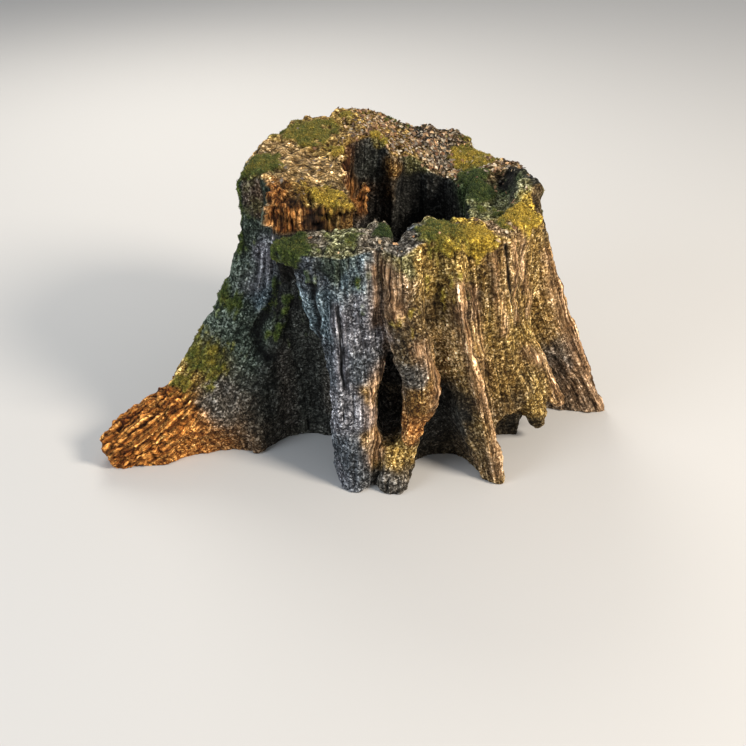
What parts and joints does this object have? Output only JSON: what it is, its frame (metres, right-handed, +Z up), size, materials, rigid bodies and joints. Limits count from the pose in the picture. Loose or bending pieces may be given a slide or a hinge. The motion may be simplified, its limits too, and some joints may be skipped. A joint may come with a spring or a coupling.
{
  "type": "tree stump",
  "caption": "Old hollow tree stump with a sawn front ledge, a higher broken block behind it, a split front wall and buttress roots that spread at ground level.",
  "frame": {"origin": "middle of the trunk at ground level, on the level cut through the roots", "axes": "+Z up, -Y towards the sawn front ledge, +X to the right of someone who faces that ledge"},
  "size_m": [1.1865, 0.9455, 0.6598],
  "materials": {
    "wood": "matte"
  },
  "bodies": {
    "root": {"stump": "wood"}
  },
  "joints": []
}
